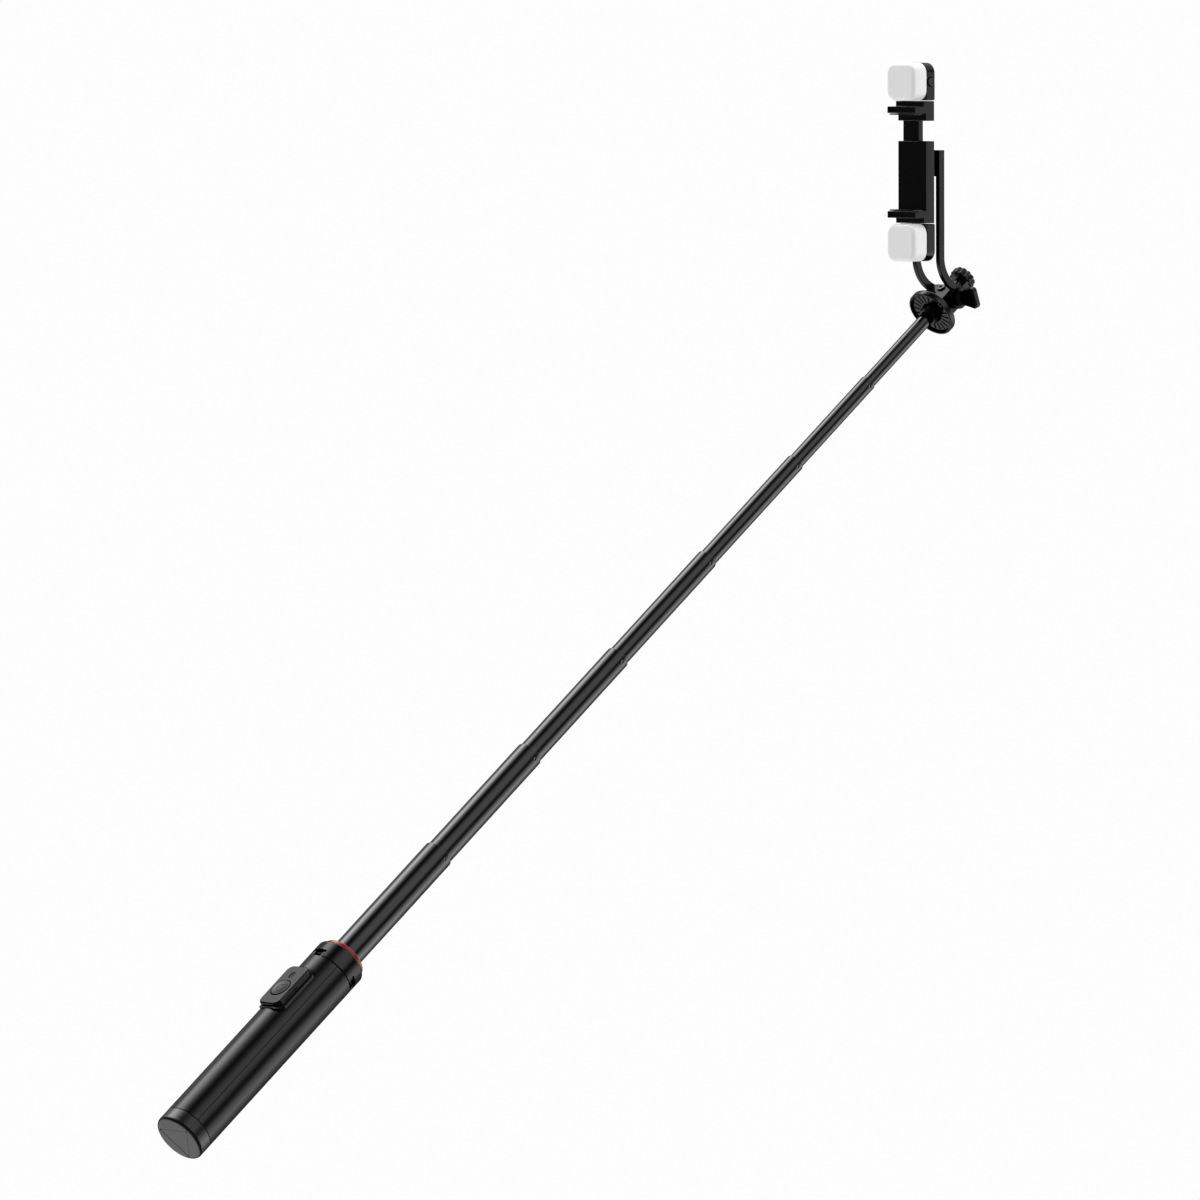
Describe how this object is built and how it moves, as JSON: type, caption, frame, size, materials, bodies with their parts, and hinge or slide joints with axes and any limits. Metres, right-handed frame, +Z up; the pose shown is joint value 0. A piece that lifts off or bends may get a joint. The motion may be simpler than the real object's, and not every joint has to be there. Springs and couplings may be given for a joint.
{
  "type": "selfie stick",
  "caption": "Telescoping selfie stick whose handle opens into a tripod, with a detachable shutter remote and a tilting, turning phone clamp that carries fill lamps.",
  "frame": {"origin": "centre of the handle's end face, which is where the stick stands when its legs are closed", "axes": "+Z runs up the stick's tubes, -Y is the front, where the remote and the phone's screen are, and +X is to the right of somebody who looks at the screen"},
  "size_m": [0.053, 0.1935, 1.0679],
  "materials": {
    "satin_black_plastic": "fine-grained satin moulding",
    "gloss_black_plastic": "polished black",
    "soft_rubber": "matt, soft to the touch",
    "black_tube": "glossy black coating on a thin drawn tube",
    "red_plastic": "satin red",
    "bright_steel": "plated",
    "nylon": "natural nylon",
    "lamp_white": "opal white, light-spreading",
    "circuit_board": "green solder resist"
  },
  "bodies": {
    "handle": {"collar": "gloss_black_plastic", "accent_ring": "red_plastic", "guide_tube": "black_tube", "core_plug": "soft_rubber", "leg_pin_front": "bright_steel", "leg_pin_right": "bright_steel", "leg_pin_left": "bright_steel"},
    "leg_front": {"leg_front": "satin_black_plastic", "foot_front": "soft_rubber", "remote_dock": "satin_black_plastic"},
    "leg_right": {"leg_right": "satin_black_plastic", "foot_right": "soft_rubber"},
    "leg_left": {"leg_left": "satin_black_plastic", "foot_left": "soft_rubber"},
    "remote": {"remote_case_lower": "satin_black_plastic", "remote_case_upper": "satin_black_plastic", "status_lens": "lamp_white", "remote_board": "circuit_board", "coin_cell": "bright_steel"},
    "shutter_button": {"shutter_button": "satin_black_plastic"},
    "tube_1": {"tube_1": "black_tube", "bush_1": "nylon"},
    "tube_2": {"tube_2": "black_tube", "bush_2": "nylon"},
    "tube_3": {"tube_3": "black_tube", "bush_3": "nylon"},
    "tube_4": {"tube_4": "black_tube", "bush_4": "nylon"},
    "tube_5": {"tube_5": "black_tube", "bush_5": "nylon"},
    "tube_6": {"tube_6": "black_tube", "bush_6": "nylon"},
    "tube_7": {"tube_7": "black_tube", "bush_7": "nylon", "top_disc": "satin_black_plastic"},
    "pan_screw": {"pan_bolt": "satin_black_plastic", "pan_knob": "satin_black_plastic"},
    "pan_head": {"pan_block": "satin_black_plastic", "block_nut": "bright_steel", "pivot_screw": "bright_steel"},
    "tilt_screw": {"tilt_bolt": "bright_steel", "tilt_knob": "satin_black_plastic"},
    "fork": {"fork": "satin_black_plastic"},
    "clamp": {"swivel_disc": "satin_black_plastic", "swivel_pin": "bright_steel", "clamp_sleeve": "satin_black_plastic", "lower_jaw_pad": "soft_rubber", "clamp_spring": "bright_steel", "lamp_lower_diffuser": "lamp_white", "lamp_lower_housing": "satin_black_plastic", "lamp_lower_board": "circuit_board", "lamp_lower_cell": "bright_steel"},
    "slider": {"clamp_slider": "satin_black_plastic", "upper_jaw_pad": "soft_rubber", "lamp_upper_diffuser": "lamp_white", "lamp_upper_housing": "satin_black_plastic", "lamp_upper_board": "circuit_board", "lamp_upper_cell": "bright_steel"},
    "lamp_lower_button": {"lamp_lower_button": "soft_rubber"},
    "lamp_upper_button": {"lamp_upper_button": "soft_rubber"}
  },
  "joints": [
    {"name": "leg_front_hinge", "type": "hinge", "parent": "handle", "child": "leg_front", "pos_m": [0, -0.017, 0.1862], "axis": [-1, 0, 0], "range_deg": [0, 65]},
    {"name": "leg_right_hinge", "type": "hinge", "parent": "handle", "child": "leg_right", "pos_m": [0.01472, 0.0085, 0.1862], "axis": [0.5, -0.866, 0], "range_deg": [0, 65]},
    {"name": "leg_left_hinge", "type": "hinge", "parent": "handle", "child": "leg_left", "pos_m": [-0.01472, 0.0085, 0.1862], "axis": [0.5, 0.866, 0], "range_deg": [0, 65]},
    {"name": "remote_slide", "type": "slide", "parent": "leg_front", "child": "remote", "axis": [0, -1, 0], "range_m": [0, 0.012]},
    {"name": "shutter_press", "type": "slide", "parent": "remote", "child": "shutter_button", "axis": [0, 1, 0], "range_m": [0, 0.0006]},
    {"name": "tube_1_slide", "type": "slide", "parent": "handle", "child": "tube_1", "axis": [0, 0, 1], "range_m": [-0.11, 0]},
    {"name": "tube_2_slide", "type": "slide", "parent": "tube_1", "child": "tube_2", "axis": [0, 0, 1], "range_m": [-0.112, 0]},
    {"name": "tube_3_slide", "type": "slide", "parent": "tube_2", "child": "tube_3", "axis": [0, 0, 1], "range_m": [-0.11, 0]},
    {"name": "tube_4_slide", "type": "slide", "parent": "tube_3", "child": "tube_4", "axis": [0, 0, 1], "range_m": [-0.113, 0]},
    {"name": "tube_5_slide", "type": "slide", "parent": "tube_4", "child": "tube_5", "axis": [0, 0, 1], "range_m": [-0.113, 0]},
    {"name": "tube_6_slide", "type": "slide", "parent": "tube_5", "child": "tube_6", "axis": [0, 0, 1], "range_m": [-0.094, 0]},
    {"name": "tube_7_slide", "type": "slide", "parent": "tube_6", "child": "tube_7", "axis": [0, 0, 1], "range_m": [-0.0785, 0]},
    {"name": "pan_knob_turn", "type": "hinge", "parent": "tube_7", "child": "pan_screw", "pos_m": [0, 0, 0.98], "axis": [0, 0, 1], "continuous": true},
    {"name": "pan_turn", "type": "hinge", "parent": "tube_7", "child": "pan_head", "pos_m": [0, 0, 0.98], "axis": [0, 0, 1], "continuous": true},
    {"name": "tilt_knob_turn", "type": "hinge", "parent": "pan_head", "child": "tilt_screw", "pos_m": [0, 0, 0.9816], "axis": [1, 0, 0], "continuous": true},
    {"name": "tilt", "type": "hinge", "parent": "pan_head", "child": "fork", "pos_m": [0, 0, 0.9816], "axis": [1, 0, 0], "range_deg": [-220, 25]},
    {"name": "clamp_turn", "type": "hinge", "parent": "fork", "child": "clamp", "pos_m": [0, -0.08304, 1.04388], "axis": [0, 0.6, 0.8], "range_deg": [0, 90]},
    {"name": "jaw_slide", "type": "slide", "parent": "clamp", "child": "slider", "axis": [0, -0.8, 0.6], "range_m": [-0.015, 0.018]},
    {"name": "lamp_lower_press", "type": "slide", "parent": "clamp", "child": "lamp_lower_button", "axis": [1, 0, 0], "range_m": [0, 0.0006]},
    {"name": "lamp_upper_press", "type": "slide", "parent": "slider", "child": "lamp_upper_button", "axis": [-1, 0, 0], "range_m": [0, 0.0006]}
  ]
}
